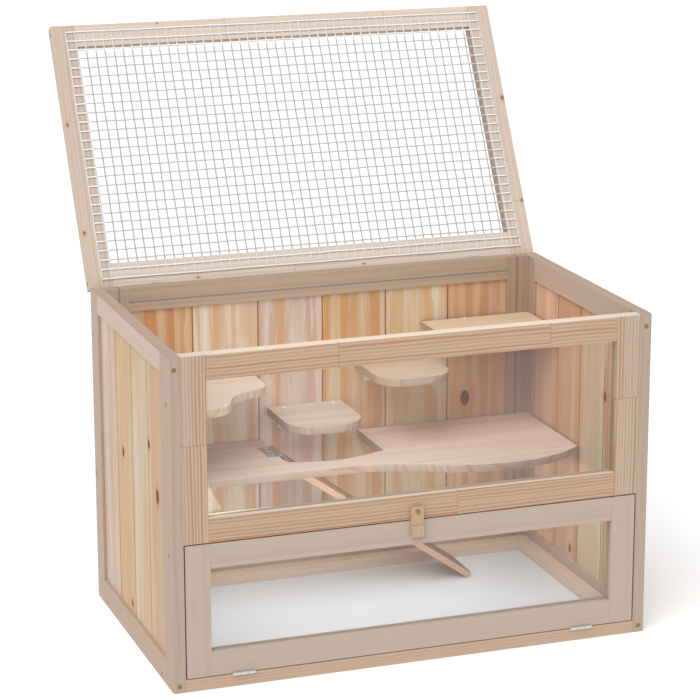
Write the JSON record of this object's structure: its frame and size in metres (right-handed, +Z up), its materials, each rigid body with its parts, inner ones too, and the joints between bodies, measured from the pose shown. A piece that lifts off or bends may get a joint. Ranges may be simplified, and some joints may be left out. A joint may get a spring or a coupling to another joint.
{
  "type": "hamster cage",
  "caption": "Timber small-pet cage with a hinged wire mesh lid, clear acrylic window and drop-down door, turn-button latch, platform, ledges and a hinged ramp.",
  "frame": {"origin": "underside of the case, at the middle of its width and depth", "axes": "+X to the right seen from the front, -Y is the front with the window and door, +Z up"},
  "size_m": [0.6, 0.546, 0.7063],
  "materials": {
    "pine_side": "planed softwood, unfinished",
    "pine_board": "knotty softwood boards, unfinished",
    "pine_front": "planed softwood with striped grain",
    "pine_door": "planed softwood, smooth",
    "pine_lid": "planed softwood, unfinished",
    "pine_back": "planed softwood, unfinished",
    "pine_inside": "planed softwood, unfinished",
    "pine_ramp": "planed softwood with cut grips",
    "pine_latch": "planed softwood",
    "acrylic": "clear acrylic sheet",
    "zinc_steel": "zinc-plated steel",
    "mesh_wire": "galvanised welded wire",
    "brass_screw": "yellow-passivated screw",
    "white_board": "white melamine-faced sheet"
  },
  "bodies": {
    "case": {"back_boards": "pine_board", "back_bottom_rail": "pine_back", "back_left_stile": "pine_back", "back_right_stile": "pine_back", "back_top_rail": "pine_back", "base_rail": "pine_front", "case_screws": "brass_screw", "door_hinge_fixed": "zinc_steel", "floor_cross_battens": "pine_inside", "floor_sheet": "white_board", "floor_side_battens": "pine_inside", "latch_screw": "brass_screw", "ledge_left": "pine_inside", "ledge_middle": "pine_inside", "ledge_right": "pine_inside", "lid_hinge_fixed": "zinc_steel", "platform": "pine_inside", "platform_cleats": "pine_inside", "ramp_hinge_fixed": "zinc_steel", "ramp_hinge_screws": "zinc_steel", "shelf_brackets": "zinc_steel", "shelf_screws": "zinc_steel", "shelf_upper": "pine_inside", "side_left_boards": "pine_board", "side_left_bottom_rail": "pine_side", "side_left_front_stile": "pine_side", "side_left_rear_stile": "pine_side", "side_left_top_rail": "pine_side", "side_right_boards": "pine_board", "side_right_bottom_rail": "pine_side", "side_right_front_stile": "pine_side", "side_right_rear_stile": "pine_side", "side_right_top_rail": "pine_side", "window_bottom_rail": "pine_front", "window_left_stile": "pine_front", "window_pane": "acrylic", "window_right_stile": "pine_front", "window_top_rail": "pine_front"},
    "door": {"door_bottom_rail": "pine_door", "door_hinge_moving": "zinc_steel", "door_left_stile": "pine_door", "door_pane": "acrylic", "door_right_stile": "pine_door", "door_top_rail": "pine_door"},
    "latch": {"latch": "pine_latch"},
    "lid": {"lid_front_rail": "pine_lid", "lid_hinge_moving": "zinc_steel", "lid_left_stile": "pine_lid", "lid_mesh": "mesh_wire", "lid_rear_rail": "pine_lid", "lid_right_stile": "pine_lid", "lid_screws": "brass_screw"},
    "ramp": {"ramp": "pine_ramp", "ramp_hinge_moving": "zinc_steel"}
  },
  "joints": [
    {"name": "door_swing", "type": "hinge", "parent": "case", "child": "door", "pos_m": [0, -0.1774, 0.0155], "axis": [1, 0, 0], "range_deg": [0, 90]},
    {"name": "latch_turn", "type": "hinge", "parent": "case", "child": "latch", "pos_m": [-0.0003, -0.179, 0.19], "axis": [0, 1, 0], "range_deg": [-90, 90]},
    {"name": "lid_swing", "type": "hinge", "parent": "case", "child": "lid", "pos_m": [0, 0.1775, 0.4035], "axis": [1, 0, 0], "range_deg": [0, 119.3]},
    {"name": "ramp_swing", "type": "hinge", "parent": "case", "child": "ramp", "pos_m": [-0.0832, 0.1, 0.1912], "axis": [0, 1, 0], "range_deg": [-28, 0]}
  ]
}
